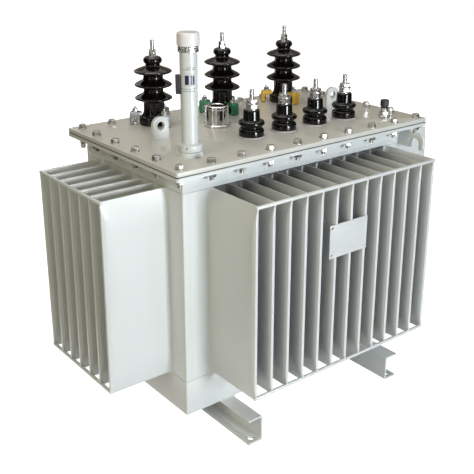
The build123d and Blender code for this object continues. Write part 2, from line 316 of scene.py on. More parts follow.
def spun(name, outline, steps=64, sweep=360):
    """Spins corners of (radius, height) or (radius, height, rounding) about Z."""
    corners = [(Vector((radius * mm, 0, z * mm)), rounding) for radius, z, *rounding in outline]
    at = corners[0][0]
    obj = dot(name, at)
    for place, _ in corners[1:]:
        pull(place - at)
        at = place
    for place, rounding in corners:
        if rounding:
            pick(obj, "VERT", lambda co, _: (co - place).length < touching)
            bpy.ops.mesh.bevel(offset=rounding[0] * mm, segments=4, affect="VERTICES")
    whole()
    bpy.ops.mesh.spin(steps=steps, angle=math.radians(sweep), center=(0, 0, 0), axis=(0, 0, 1))
    merge()
    if sweep < 360:
        bpy.ops.mesh.fill_holes(sides=0)
    return close(obj)


# %% [markdown]
# ## Threads, nuts and washers
#
# A thread is one ridge that climbs as it turns. The Screw modifier does just that with a small
# V of three points. A nut starts as a six-sided cylinder, and its corners are turned away by
# keeping only what a chamfered disc has in common with it, which is how a real nut is made.


# %% Thread, nut and washer
def threaded(radius, pitch, bottom, top):
    """A stud from bottom to top with a real thread and a chamfered end."""
    root = radius - 0.6 * pitch
    thread = dot("thread", (radius * mm, 0, bottom * mm))
    for reach in (root - radius, radius - root):
        pull((reach * mm, 0, pitch * mm / 2))
    turns = math.ceil(round((top - bottom) / pitch, 3)) - 2
    settings = {"render_steps": 20, "use_merge_vertices": True, "merge_threshold": touching}
    modify(thread, "SCREW", screw_offset=pitch * mm, iterations=turns, steps=20, **settings)
    edit(thread)
    merge()
    bpy.ops.mesh.fill_holes(sides=0)
    close(thread)
    core = root + 0.1 * pitch
    end = spun("end", [(0, bottom), (core, bottom), (core, top, pitch / 2), (0, top)], steps=20)
    return joined("stud", [thread, end])


def nut(flats, height, bottom):
    """A hexagon with its corners turned away."""
    corner = flats / math.sqrt(3)
    inner = corner - 0.16 * flats
    drop = 0.072 * flats
    top = bottom + height
    obj = cylinder(6, corner * mm, height * mm, (0, 0, (bottom + height / 2) * mm))
    outline = [(0, bottom), (inner, bottom), (corner, bottom + drop)]
    outline += [(corner, top - drop), (inner, top), (0, top)]
    return carve(obj, spun("disc", outline, steps=36), "INTERSECT")


def washer(radius, thickness, bottom):
    """A flat disc with its rims just broken."""
    rim = 0.3 * thickness
    top = bottom + thickness
    return spun("washer", [(0, bottom), (radius, bottom, rim), (radius, top, rim), (0, top)], steps=36)


# %% [markdown]
# ## Weld beads
#
# Where two plates of the tank meet, the welder leaves a bead of overlapping drops. One flattened
# sphere of a few dozen faces is repeated along the seam by an Array modifier. A bump in the paint
# would be cheaper, but it wouldn't catch the light at the seam's edge.


# %% A bead along a line
def bead(start, end, width=4 * mm, pitch=2.6 * mm):
    """Overlapping drops of weld metal from start to end."""
    start, end = Vector(start), Vector(end)
    run = end - start
    drop = ball(8, 4, width / 2, stretch=0.8)
    count = max(2, round(run.length / pitch))
    row(drop, count, run.length / (count - 1))
    drop.rotation_euler = run.to_track_quat("X", "Z").to_euler()
    drop.location = start
    return settle(drop)


def ring_bead(height, radius, width, pitch=2.6 * mm):
    """The same round a boss, by spinning copies of one drop."""
    drop = ball(8, 4, width / 2, place=(radius, 0, height))
    edit(drop)
    whole()
    count = round(math.tau * radius / pitch)
    bpy.ops.mesh.spin(steps=count, dupli=True, angle=math.tau, center=(0, 0, height), axis=(0, 0, 1))
    bpy.ops.object.mode_set(mode="OBJECT")
    return drop


# %% [markdown]
# ## Tank collars, flange and lid
#
# The tank is closed above and below its fins by collars of folded plate. The upper one carries a
# flat flange, and the lid is bolted down on it over a rubber gasket. A collar is a block whose top
# and bottom are removed and whose walls get their thickness from Solidify. Every edge is rounded a
# little, because painted steel always shows a bright line there.

# %% Collars
corner_round = 3 * mm
plate_edge = 0.8 * mm


def collar(name, low, high, wall, rounding):
    """A rectangular ring of plate with rounded corners."""
    obj = block(name, low, high)
    edit(obj)
    drop_faces(obj, lambda _, normal: abs(normal.z) > 0.9)
    round_edges(obj, rounding, 4, upright)
    modify(obj, "SOLIDIFY", thickness=wall, offset=-1, use_even_offset=True)
    return soften(obj, plate_edge)


lower_low, lower_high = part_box("lower_frame")
upper_low, upper_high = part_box("upper_frame")
wall_low, wall_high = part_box("front_wall")
lid_low, lid_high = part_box("lid")
tank_x = lower_high.x
tank_y = lower_high.y
lid_top = lid_high.z
frame_sheet = 4 * mm
flange_thickness = 8 * mm
flange_bottom = upper_high.z - flange_thickness


def above_lid(z):
    """A height in metres as millimetres above the lid."""
    return (z - lid_top) / mm


def foot(node):
    """The place on the lid under the middle of a CAD node."""
    low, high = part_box(node)
    return Vector(((low.x + high.x) / 2, (low.y + high.y) / 2, lid_top))


def on_lid(obj, node):
    """Moves a piece that was made on the Z axis to its CAD node's place on the lid."""
    obj.location = foot(node)
    return settle(obj)


# %% Two collars
lower = collar("lower", lower_low, lower_high, frame_sheet, corner_round)
piece(lower, "lower_collar", "tank_paint", "lower_frame")
upper = collar(
    "upper", (-tank_x, -tank_y, upper_low.z), (tank_x, tank_y, flange_bottom), frame_sheet, corner_round
)
flange_width = upper_high.x - tank_x + frame_sheet
flange = collar("flange", (upper_low.x, upper_low.y, flange_bottom), upper_high, flange_width, 5 * mm)
piece(joined("upper", [upper, flange]), "upper_collar", "tank_paint", "upper_frame")

# %% Lid
lid = block("lid", lid_low, lid_high)
edit(lid)
round_edges(lid, 5 * mm, 4, upright)
soften(lid, 1.2 * mm, segments=3)
piece(lid, "lid_plate", "lid_paint", "lid")

# %% [markdown]
# ## Corrugated walls
#
# Each wall is one long sheet folded into fins. A fin is a flat pocket, open to the oil at its root
# and rounded at its outer edge. At the top and bottom one face is pressed against the other into a
# thin weld seam. The fold at the outer edge is stiff and gives way later, which leaves a slanting
# crease. One block is sliced at many heights and depths, and each slice is squeezed towards the
# flat face. Near the root the pocket opens again, with the bend of the folded sheet.

# %% One fin
fin_pitch = 45 * mm
fin_thickness = 12 * mm
fin_seam = 3 * mm
fin_pinch = 75 * mm
outer_pinch = 36 * mm
fin_nose = 0.3
crease_reach = 34 * mm
fin_edge = 3.5 * mm
fin_root_opening = 14 * mm
sheet_bend = 4 * mm
sheet_thickness = 3 * mm
rod_radius = 4 * mm
fin_bottom = wall_low.z
fin_height = wall_high.z - wall_low.z
pinch_steps = (0.04, 0.1, 0.18, 0.28, 0.4, 0.54, 0.7, 0.86, 1.0)
root_stations = (1 * mm, 0, -1.2 * mm, -4 * mm, -8 * mm, -fin_root_opening)
crease_stations = (crease_reach, 27 * mm, 20 * mm, 14 * mm, 9 * mm, 5.2 * mm)


def pressed(z, inward):
    """Thickness at a height and a distance in from the outer edge, as a share of the full one."""
    slack = min(1.0, inward / crease_reach)
    pinch = outer_pinch + (fin_pinch - outer_pinch) * slack
    from_end = min(1.0, z / pinch, (fin_height - z) / pinch)
    bulge = 1 - fin_nose * (1 - slack) ** 2
    return bulge * (1 - (1 - fin_seam / fin_thickness) * (1 - from_end) ** 2)


def at_root(share, y):
    """The share where the pocket opens to the tank, and how far the sheet's bend widens it there."""
    opened = min(1.0, max(0.0, 1 + y / fin_root_opening)) ** 2
    into_bend = min(1.0, max(0.0, 1 + y / sheet_bend))
    spread = sheet_bend * (1 - math.sqrt(1 - into_bend**2))
    share += (1 - share) * opened
    return share, 1 + 2 * spread / (share * fin_thickness)


def fin(depth, flat):
    """One fin, its root on Y = 0, its depth towards -Y. flat is 1 where its flat face is the +X one."""
    half = fin_thickness / 2
    obj = block("fin", (-half, -depth, 0), (half, root_stations[0], fin_height))
    edit(obj)
    round_edges(obj, fin_edge, 5, lambda middle, along: upright(middle, along) and middle.y < -depth / 2)
    heights = [0.0, fin_height]
    for step in pinch_steps:
        for z in (step * fin_pinch, fin_height - step * fin_pinch):
            cut(obj, (0, 0, z), (0, 0, 1))
            heights.append(z)
    stations = [*root_stations, *(inward - depth for inward in crease_stations)]
    for y in stations[1:]:
        cut(obj, (0, y, 0), (0, 1, 0))
    for z in heights:
        for y in stations:
            pick(obj, "VERT", lambda co, _: abs(co.z - z) < touching and abs(co.y - y) < touching)
            share, wider = at_root(pressed(z, y + depth), y)
            bpy.ops.transform.resize(value=(share, 1, 1), center_override=(flat * half, 0, z))
            if wider > 1:
                middle = flat * half * (1 - share)
                bpy.ops.transform.resize(value=(wider, 1, 1), center_override=(middle, 0, z))
        pick(obj, "VERT", lambda co, _: abs(co.z - z) < touching and co.y < stations[-1] - touching)
        bpy.ops.transform.resize(value=(pressed(z, 0), 1, 1), center_override=(flat * half, 0, z))
    for z, up in ((rod_radius, -1), (fin_height - rod_radius, 1)):
        cut(obj, (0, rod_radius - depth - rod_radius / 2, z + up * rod_radius / 2), (0, -1, up), True)
    return close(obj)


# %% A whole wall with its rods
turn_of = {"front": 0, "back": 180, "left": -90, "right": 90}
flat_of = {"front": 1, "back": -1, "left": -1, "right": 1}


def wall(side, half_side, sheet_length, depth, count):
    """The folded sheet of one side, and the two rods that hold its fin corners."""
    first = -(count - 1) / 2 * fin_pitch
    fins = fin(depth, flat_of[side])
    fins.location.x = first
    settle(fins)
    row(fins, count, fin_pitch)
    sheet = block("sheet", (-sheet_length / 2, 0, 0), (sheet_length / 2, sheet_thickness, fin_height))
    edit(sheet)
    rounding = corner_round - 0.5 * mm
    round_edges(sheet, rounding, 4, lambda middle, along: upright(middle, along) and middle.y < touching)
    corrugated = joined("corrugated", [sheet, fins])
    rods = []
    length = (count - 1) * fin_pitch + fin_seam + 4 * mm
    aside = flat_of[side] * (fin_thickness - fin_seam) / 2
    for z in (rod_radius, fin_height - rod_radius):
        rod = cylinder(24, rod_radius, length, (aside, rod_radius - depth, z), (0, math.pi / 2, 0))
        rods.append(soften(rod, 0.7 * mm))
        drop = ball(12, 8, 3.4 * mm, stretch=1.1)
        inward = rod_radius - depth + 2.6 * mm
        places = [(first + i * fin_pitch + aside, inward, z, 0) for i in range(count)]
        rods.append(repeat(drop, places, "drops"))
    made = [corrugated, joined("rods", rods)]
    turn = math.radians(turn_of[side])
    for obj in made:
        obj.rotation_euler.z = turn
        obj.location = (half_side * math.sin(turn), -half_side * math.cos(turn), fin_bottom)
        settle(obj)
    piece(made[0], side + "_corrugated", "tank_paint", side + "_wall")
    piece(made[1], side + "_rods", "tank_paint", side + "_fin_rods")


front_depth = -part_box("front_wall")[0].y - tank_y
side_depth = -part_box("left_wall")[0].x - tank_x
for side in ("front", "back"):
    wall(side, tank_y, 2 * tank_x, front_depth, 13)
for side in ("left", "right"):
    wall(side, tank_x, 2 * (tank_y - sheet_thickness), side_depth, 7)

# %% Seams round the tank
fins_top = wall_high.z
seam_lines = []
for z, width in ((fin_bottom, 3.2 * mm), (fins_top, 3.2 * mm), (fins_top + 10 * mm, 1.6 * mm)):
    for sign in (-1, 1):
        seam_lines.append(bead((-tank_x, sign * tank_y, z), (tank_x, sign * tank_y, z), width))
        seam_lines.append(bead((sign * tank_x, -tank_y, z), (sign * tank_x, tank_y, z), width))
strip = 18 * mm
for sign_x in (-1, 1):
    for sign_y in (-1, 1):
        x = sign_x * (tank_x - strip)
        y = sign_y * tank_y
        seam_lines.append(bead((x, y, fin_bottom), (x, y, fins_top), 1.2 * mm))
piece(joined("seams", seam_lines), "tank_seam_welds", "tank_paint", smooth=60)

# %% [markdown]
# ## Skids
#
# Two channels run under the tank, open outwards. A channel is rolled from one sheet, so it is
# modelled as one: the upright web is a plane, its top and bottom edges are extruded outwards as
# flanges, the two folds are bevelled, and Solidify gives the sheet its thickness.

# %% Channel skids
skid_sheet = 4.5 * mm
skid_fold = 6 * mm
foot_hole_radius = 7 * mm
foot_hole_inset = 16 * mm


def skid(node, outwards):
    """A channel on the box of its CAD node. outwards is -1 for the left side and 1 for the right."""
    low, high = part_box(node)
    inner = high.x if outwards < 0 else low.x
    width = high.x - low.x
    web = block("web", (inner - touching, low.y, low.z), (inner + touching, high.y, high.z))
    edit(web)
    drop_faces(web, lambda _, normal: normal.x * outwards < 0.9)
    for z in (low.z, high.z):
        pick(web, "EDGE", lambda middle, along: abs(along.y) > 0.9 and abs(middle.z - z) < touching)
        pull((outwards * width, 0, 0))
    folds = [Vector((inner, (low.y + high.y) / 2, z)) for z in (low.z, high.z)]
    round_edges(web, skid_fold, 5, lambda at, _: min((at - fold).length for fold in folds) < 2 * touching)
    face_outwards()
    bpy.ops.object.mode_set(mode="OBJECT")
    facing_in = max(web.data.polygons, key=lambda face: face.area)
    inward = 1 if facing_in.normal.x * outwards > 0 else -1
    modify(web, "SOLIDIFY", thickness=skid_sheet, offset=inward, use_even_offset=True)
    holes = []
    for y in (low.y + foot_hole_inset, high.y - foot_hole_inset):
        place = (inner + outwards * (width + skid_sheet) / 2, y, low.z)
        holes.append(cylinder(32, foot_hole_radius, 4 * skid_sheet, place))
    carve(web, joined("drill", holes))
    return soften(web, 0.6 * mm)


for side, outwards in (("left", -1), ("right", 1)):
    channel = skid(side + "_skid", outwards)
    low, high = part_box(side + "_skid")
    ends = [bead((low.x, y, high.z), (high.x, y, high.z), 5 * mm) for y in (-tank_y, tank_y)]
    piece(joined("channel", [channel, *ends]), side + "_channel", "tank_paint", side + "_skid")

# %% [markdown]
# ## Lifting lugs and hooks
#
# A lug is a plate with a round head and a round hole. Its head and hole are two circles that are
# bridged, and the lower half of the outer circle is drawn down and flattened on to the lid. The
# two hooks are cut from plate, and the frame has their outline already. A copy of that mesh is
# merged and cleared of its loose triangles, and its cut edges are then rounded.

# %% Lugs on the lid
lug_hole_radius = 10 * mm


def lug(node):
    """A lifting lug on the box of its CAD node."""
    low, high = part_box(node)
    radius = (high.x - low.x) / 2
    centre = Vector(((low.x + high.x) / 2, low.y, high.z - radius))
    rings = []
    for size in (radius, lug_hole_radius):
        only()
        bpy.ops.mesh.primitive_circle_add(
            vertices=48, radius=size, location=centre, rotation=(math.pi / 2, 0, 0)
        )
        rings.append(settle(bpy.context.object))
    obj = joined("lug", rings)
    edit(obj)
    whole()
    bpy.ops.mesh.bridge_edge_loops()
    rim = radius - 0.2 * mm
    pick(obj, "EDGE", lambda middle, _: (middle - centre).length > rim and middle.z < centre.z)
    pull((0, 0, low.z - centre.z))
    bpy.ops.transform.resize(value=(1, 1, 0), center_override=(centre.x, centre.y, low.z))
    whole()
    pull((0, high.y - low.y, 0))
    face_outwards()
    soften(obj, 0.9 * mm)
    edges = [bead((low.x, y, low.z), (high.x, y, low.z), 5 * mm) for y in (low.y, high.y)]
    return joined("lug", [obj, *edges])


for side in ("left", "right"):
    piece(lug(side + "_lid_lug"), side + "_lug", "tank_paint", side + "_lid_lug")


# %% Plates cut to the frame's own outline
def cut_plate(node, rounding):
    """A merged copy of a CAD node's mesh with its triangles joined and its edges rounded."""
    only(frame["nodes"][node])
    bpy.ops.object.duplicate(linked=False)
    obj = bpy.context.object
    for key in list(obj.keys()):
        del obj[key]
    only(obj)
    bpy.ops.object.parent_clear(type="CLEAR_KEEP_TRANSFORM")
    obj.hide_render = False
    edit(obj)
    merge()
    bpy.ops.mesh.dissolve_limited(angle_limit=math.radians(1))
    face_outwards()
    return soften(obj, rounding)


for corner in ("front_right", "back_left"):
    low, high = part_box(corner + "_hook")
    root = math.copysign(tank_y, low.y)
    edge = math.copysign(upper_high.y, low.y)
    welds = []
    for x in (low.x, high.x):
        welds.append(bead((x, root, low.z + 3 * mm), (x, root, flange_bottom)))
        welds.append(bead((x, root, flange_bottom), (x, edge, flange_bottom)))
    plate = cut_plate(corner + "_hook", 0.9 * mm)
    piece(joined("hook", [plate, *welds]), corner + "_lifting_hook", "tank_paint", corner + "_hook")

# %% [markdown]
# ## Lid bolts
#
# The lid is held by bolts all round its rim, each with a washer above and a washer and nut below.
# One bolt is assembled from the parts above and copied to all its places. The heads are turned by
# chance, as a fitter leaves them, with a fixed seed so that every run gives the same ones.

# %% The bolt circle
bolt_pitch_x = 80 * mm
bolt_pitch_y = 85 * mm
bolt_edge = 20 * mm


def lid_bolt():
    """A hexagon bolt through the lid and the flange, with a nut and the end of its thread below."""
    top = lid_top / mm
    below = flange_bottom / mm
    parts = [nut(16, 8.5, top + 2), washer(10.5, 2, top), washer(12, 2, below - 2)]
    parts += [nut(18, 9, below - 11), threaded(5, 1.5, below - 18, top + 2)]
    return joined("bolt", parts)


chance = random.Random(11)
bolt_places = []
for i in range(10):
    bolt_places.append(((i - 4.5) * bolt_pitch_x, bolt_edge - lid_high.y))
    bolt_places.append(((i - 4.5) * bolt_pitch_x + 6 * mm, lid_high.y - bolt_edge - 6 * mm))
for i in range(4):
    for sign in (-1, 1):
        bolt_places.append((sign * (lid_high.x - bolt_edge), (i - 1.5) * bolt_pitch_y))
bolt_turns = [(x, y, 0, chance.uniform(0, 60)) for x, y in bolt_places]
bolts = repeat(lid_bolt(), bolt_turns, "bolts")
piece(bolts, "lid_bolts", "bright_zinc", look="bolt_steel")
print("lid bolts:", len(bolt_places))

# %% [markdown]
# ## High-voltage bushings
#
# Each bushing is one piece of brown glazed porcelain with a foot, three sheds that keep rain from
# wetting the whole length, and a mushroom-shaped cap under the terminal. The sheds are the same
# outline repeated, so a loop writes their corners.

# %% Porcelain with three sheds
shed_pitch = 32.2


def hv_outline(top):
    """Half outline from the lid to the top of the cap."""
    corners = [(0, 0), (37, 0, 1.5), (37, 20, 5), (30, 20.6, 1.5), (25.5, 29, 5)]
    for i in range(3):
        tip = 64.8 + i * shed_pitch
        below = 24 if i else 25.5
        above = 17 if i == 2 else 24
        corners += [
            (below, tip - 8.5, 3),
            (42.5, tip - 3.8, 3),
            (47, tip - 0.4, 2.6),
            (42, tip + 3.6, 6),
            (above, tip + 12.8, 4),
        ]
    corners += [(17, top - 18, 1.5), (22.5, top - 14, 4), (22.5, top - 4, 5)]
    return corners + [(15, top, 2.5), (11, top - 3, 1), (0, top - 3)]


hv_low, hv_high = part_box("hv_porcelain_right")
hv_height = (hv_high.z - hv_low.z) / mm
hv_places = {}
for name in ("left", "middle", "right"):
    node = "hv_porcelain_" + name
    hv_places[name] = foot(node)
    body = on_lid(spun("body", hv_outline(hv_height), steps=72), node)
    piece(body, "hv_bushing_" + name, "porcelain", node, smooth=50)


# %% Terminals on top
def hv_terminal():
    """Two nuts with washers on a thin stud."""
    seat = hv_height - 3
    top = above_lid(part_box("hv_terminals")[1].z)
    parts = [washer(9.4, 2, seat), nut(16, 8, seat + 2), washer(8.6, 1.5, seat + 10)]
    parts += [nut(15, 7.5, seat + 11.5), threaded(5, 1.5, seat + 2, top)]
    return joined("terminal", parts)


terminal_places = [(*place, 20 * place.x / fin_pitch) for place in hv_places.values()]
terminals = repeat(hv_terminal(), terminal_places, "terminals")
piece(terminals, "hv_terminal_studs", "bright_zinc", "hv_terminals")

# %% [markdown]
# ## Clamps round the feet
#
# Three cast claws hold each bushing. A claw rests on the porcelain foot and on its own leg, and a
# stud between the two pulls it down. Here a flat bar is sliced, its outer end is drawn down into
# the leg, and the shoulder gets a large rounding. The claws are painted in a colour for each
# phase: grey, green and yellow.

# %% Claws and their nuts
clamp_angles = (148, 28, -92)
claw_inner = 30 * mm
claw_outer = 60 * mm
claw_stud_at = 46 * mm
claw_width = 20 * mm
claw_seat = 20 * mm
claw_top = 31 * mm
claw_leg = 9 * mm


def claw():
    """One claw along +X, on a foot whose axis is Z."""
    half = claw_width / 2
    shoulder = claw_outer - claw_leg
    obj = block("claw", (claw_inner, -half, claw_seat), (claw_outer, half, claw_top))
    edit(obj)
    cut(obj, (shoulder, 0, 0), (1, 0, 0))
    pick(obj, "FACE", lambda middle, normal: normal.z < -0.9 and middle.x > shoulder)
    pull((0, 0, -claw_seat))
    for x, width, segments in ((claw_outer, 7 * mm, 5), (claw_inner, 5 * mm, 4)):
        corner = Vector((x, 0, claw_top))
        round_edges(obj, width, segments, lambda middle, _: (middle - corner).length < touching)
    return soften(obj, 2.2 * mm, segments=3)


def claw_stud():
    """The stud with its welded cone, washer and nut."""
    top = claw_top / mm
    parts = [spun("cone", [(0, 0), (5, 0), (3.4, 5), (0, 5)], steps=24), threaded(3.5, 1.2, 0, top + 14)]
    obj = joined("stud", parts + [washer(8, 1.5, top), nut(13, 6.5, top + 1.5)])
    obj.location.x = claw_stud_at
    return settle(obj)


clamp_slots = {"left": "grey_zinc", "middle": "green_paint", "right": "yellow_paint"}
every_place = []
for name, place in hv_places.items():
    places = [(*place, angle) for angle in clamp_angles]
    every_place += places
    piece(repeat(claw(), places, "claws"), "hv_claws_" + name, clamp_slots[name], "hv_clamps_" + name)
piece(repeat(claw_stud(), every_place, "studs"), "hv_claw_studs", "bright_zinc")

# %% [markdown]
# ## Low-voltage bushings
#
# These are short and stout, because the voltage is low and the current is high. Each one stands on
# a pale gasket: a rounded base, a groove, one thick shed and a straight neck. The stud above it
# carries a large nut, a washer and a second nut that grip the cable lug.

# %% Porcelain, gaskets and terminals
lv_outline = [(0, 3), (29.5, 3, 1.2), (29.5, 21.5, 8.5), (22, 22, 1), (22, 26, 1.6), (30.5, 26, 6)]
lv_outline += [(30.5, 39, 6), (19.5, 39, 2.5), (18.8, 64, 3.5), (0, 64)]
lv_places = []
for i in range(1, 5):
    node = f"lv_porcelain_{i}"
    lv_places.append((*foot(node), 17 * i))
    body = on_lid(spun("body", lv_outline), node)
    piece(body, f"lv_bushing_{i}", "porcelain", node, smooth=50)

seal = spun("seal", [(0, 0), (31.5, 0, 0.8), (31.5, 3, 1), (0, 3)])
piece(repeat(seal, lv_places, "seals"), "lv_seals", "pale_gasket", "lv_gaskets")


def lv_terminal():
    """Lower nut, washers and upper nut on a thick stud."""
    top = above_lid(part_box("lv_terminals")[1].z)
    parts = [washer(14.4, 2, 64), nut(25, 11, 66), washer(15.4, 1.6, 77), washer(13.5, 1.4, 78.6)]
    return joined("terminal", parts + [nut(24, 8, 80), threaded(6, 1.75, 66, top)])


piece(repeat(lv_terminal(), lv_places, "terminals"), "lv_terminal_studs", "bright_zinc", "lv_terminals")

# %% [markdown]
# ## Oil filler with its level gauge
#
# Oil goes in through a tall pipe. It stands in a boss that is welded to the lid, with a clamped
# flange ring above, and it ends in a knurled ring and a plastic cap. A gauge window shows the oil
# level, on a small label, and a black housing hugs the pipe's left side.

# %% Boss, flange, pipe, ring and cap
filler_low, filler_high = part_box("filler_pipe")
pipe_radius = (filler_high.x - filler_low.x) / 2 / mm
pipe_top = above_lid(filler_high.z)


def on_filler(obj):
    """Moves a piece that was made on the Z axis to the filler's place on the lid."""
    return on_lid(obj, "filler_pipe")


boss = spun("boss", [(0, 0), (27.5, 0, 0.8), (27.5, 11.2, 1.6), (0, 11.2)])
boss_weld = ring_bead(0.4 * mm, 27.6 * mm, 4.4 * mm)
piece(on_filler(joined("boss", [boss, boss_weld])), "filler_foot", "tank_paint", "filler_boss")

ring_radius = 26.3
ring_outline = [(0, 12), (ring_radius, 12, 1), (ring_radius, 27, 2.4)]
flange_ring = spun("ring", ring_outline + [(21, 27, 0.8), (19.4, 29.5, 1.5), (0, 29.5)])
edit(flange_ring)
joint_low, joint_high = 15.5 * mm, 16.4 * mm
for z in (joint_low, joint_high):
    cut(flange_ring, (0, 0, z), (0, 0, 1))
at_rim = 25 * mm
pick(flange_ring, "FACE", lambda at, _: joint_low < at.z < joint_high and at.xy.length > at_rim)
pull((0, 0, 0))
bpy.ops.transform.resize(value=(0.965, 0.965, 1), center_override=(0, 0, 0))
set_screws = []
for angle in (-141, -21, 99):
    turn = math.radians(angle)
    place = (ring_radius * mm * math.cos(turn), ring_radius * mm * math.sin(turn), 21 * mm)
    set_screws.append(cylinder(20, 2.6 * mm, 8 * mm, place, (0, math.pi / 2, turn)))
carve(flange_ring, joined("drill", set_screws))
piece(on_filler(flange_ring), "filler_flange_ring", "tank_paint", "filler_flange")

pipe = spun("pipe", [(0, 12), (pipe_radius, 12), (pipe_radius, pipe_top, 0.8), (0, pipe_top)])
piece(on_filler(pipe), "filler_tube", "tank_paint", "filler_pipe")

# %% Knurled ring and cap
ring_low, ring_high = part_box("filler_ring")
ring_middle = (0, 0, (ring_low.z + ring_high.z) / 2 - lid_top)
knurls = 40
knurled = cylinder(2 * knurls, 21.7 * mm, ring_high.z - ring_low.z, ring_middle)


def every_second(middle, normal):
    """Passes every second face round the ring."""
    step = math.atan2(middle.y, middle.x) / (math.pi / knurls) + 2 * knurls
    return abs(normal.z) < 0.1 and int(step) % 2 == 0


edit(knurled)
pick(knurled, "FACE", every_second)
bpy.ops.mesh.inset(thickness=0.35 * mm, depth=-0.9 * mm, use_individual=True)
piece(on_filler(knurled), "filler_knurled_ring", "bright_zinc", "filler_ring", smooth=20)

low, high = (above_lid(corner.z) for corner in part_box("filler_cap"))
cap_outline = [(0, low), (23, low, 0.8), (23.8, low + 3, 1.5), (23.4, high - 1, 3)]
cap_outline += [(20, high, 1.5), (18.5, high - 0.8, 0.6), (0, high - 0.8)]
piece(on_filler(spun("cap", cap_outline)), "filler_plastic_cap", "white_plastic", "filler_cap", smooth=50)

# %% Gauge window and its scale
label_angle = -118
label_low = 151
label_high = 179


def patch(name, centre, width, low, high, out):
    """A thin curved patch on the pipe: its middle direction, its width and its two heights."""
    inner = pipe_radius - 0.3
    outer = pipe_radius + out
    sweep = math.degrees(width / pipe_radius)
    outline = [(inner, low), (outer, low), (outer, high), (inner, high), (inner, low)]
    obj = spun(name, outline, steps=10, sweep=sweep)
    obj.rotation_euler.z = math.radians(centre + sweep / 2)
    return on_filler(obj)


piece(patch("label", label_angle, 24, label_low, label_high, 0.25), "gauge_label", "white_plate")
bars = []
for side in (-1, 1):
    angle = label_angle + side * math.degrees(6 / pipe_radius)
    bars.append(patch("bar", angle, 8, label_low + 4, label_high - 5, 0.5))
piece(joined("bars", bars), "gauge_window", "black_plastic", look="gauge_glass")

chance = random.Random(5)
ticks = []
for z, reach, shift in ((190, 13, 6), (186, 17, 2), (146, 22, -6), (141, 22, -7)):
    arc = shift - reach
    while arc < (reach + shift) / 1.6:
        width = chance.uniform(1.0, 2.4)
        angle = label_angle + math.degrees((arc + width / 2) / pipe_radius)
        ticks.append(patch("tick", angle, width, z - 0.9, z + 0.9, 0.12))
        arc += width + 1.1
piece(joined("ticks", ticks), "gauge_scale_marks", "black_plastic", look="scale_ink")

# %% Black gauge housing
gauge_turn = math.radians(150)
gauge_reach = pipe_radius + 9
low, high = (above_lid(corner.z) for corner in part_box("level_gauge"))
housing = block("housing", Vector((14, -9, low)) * mm, Vector((gauge_reach, 9, high)) * mm)
edit(housing)
pick(housing, "FACE", lambda _, normal: normal.x > 0.9)
bpy.ops.mesh.inset(thickness=3.5 * mm, depth=0)
bpy.ops.mesh.inset(thickness=1 * mm, depth=-1.5 * mm)
parts = [soften(housing, 1.5 * mm, segments=3)]
for z in (low + 9, high - 9):
    screw = spun("screw", [(0, 0), (2.4, 0), (2.4, 1.4, 0.6), (0, 1.4)], steps=20)
    screw.rotation_euler.y = math.pi / 2
    screw.location = Vector((gauge_reach - 1.6, 0, z)) * mm
    parts.append(settle(screw))
housing = joined("housing", parts)
housing.rotation_euler.z = gauge_turn
piece(on_filler(housing), "gauge_housing", "black_plastic", "level_gauge")

# %% [markdown]
# ## Relief valve, thermometer pocket and plate
#
# The chromed relief valve is a low drum on a flange. The thermometer pocket is a hexagon fitting
# under a black cap. The plate on the fins is a thin painted sheet, left bare.

# %% Relief valve
low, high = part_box("relief_valve")
top = (high.z - low.z) / mm
valve_outline = [(0, 0), (33.4, 0, 0.8), (33.4, 5, 1.6), (29, 5, 0.8), (28, 7, 0.8)]
valve_outline += [(28, top - 9, 0.6), (27.2, top - 8.2, 0.4), (28, top - 7.4, 0.6)]
valve_outline += [(28, top, 4.5), (16, top, 1), (15, top - 1.5, 0.8), (0, top - 1.5)]
valve = on_lid(spun("valve", valve_outline, steps=96), "relief_valve")
piece(valve, "relief_valve_drum", "chrome_plate", "relief_valve", smooth=45)

# %% Thermometer pocket
cone = spun("cone", [(0, 16), (11, 16), (8.5, 23, 1), (0, 23)])
fitting = joined("fitting", [washer(15.6, 5, 0), nut(23, 11, 5), cone])
piece(on_lid(fitting, "pocket_base"), "pocket_fitting", "bright_zinc", "pocket_base")
cap_outline = [(0, 23), (9.2, 23, 0.6), (9.4, 27, 0.8), (10.8, 28.5, 0.8), (10.8, 44, 3.4), (0, 44)]
pocket_cap = on_lid(spun("cap", cap_outline, steps=40), "pocket_base")
piece(pocket_cap, "pocket_black_cap", "black_plastic", "pocket_cap")

# %% Bare plate on the fins
piece(cut_plate("nameplate", 0.3 * mm), "bare_plate", "white_plate", "nameplate", smooth=30)

# %% [markdown]
# ## Finishes
#
# Every finish is a Principled shader fed by procedural patterns in Object coordinates, so a
# pattern keeps its real scale in metres on every piece. The small class below lets the shader
# maths be written as plain expressions: each operator adds a Math node.


# %% Shader sums as expressions
class Signal:
    """A value on its way through a shader."""

    def __init__(self, finish, socket):
        self.finish = finish
        self.socket = socket

    def math(self, operation, other, swapped=False, clamp=False):
        pair = (other, self) if swapped else (self, other)
        settings = {"operation": operation, "use_clamp": clamp}
        return self.finish.node("ShaderNodeMath", settings, {0: pair[0], 1: pair[1]})

    def __add__(self, other):
        return self.math("ADD", other)

    __radd__ = __add__

    def __sub__(self, other):
        return self.math("SUBTRACT", other)

    def __rsub__(self, other):
        return self.math("SUBTRACT", other, swapped=True)

    def __mul__(self, other):
        return self.math("MULTIPLY", other)

    __rmul__ = __mul__

    def over(self, other):
        """1 where this value is greater, and 0 elsewhere."""
        return self.math("GREATER_THAN", other)

    def held(self):
        """The value kept between 0 and 1."""
        return self.math("ADD", 0.0, clamp=True)


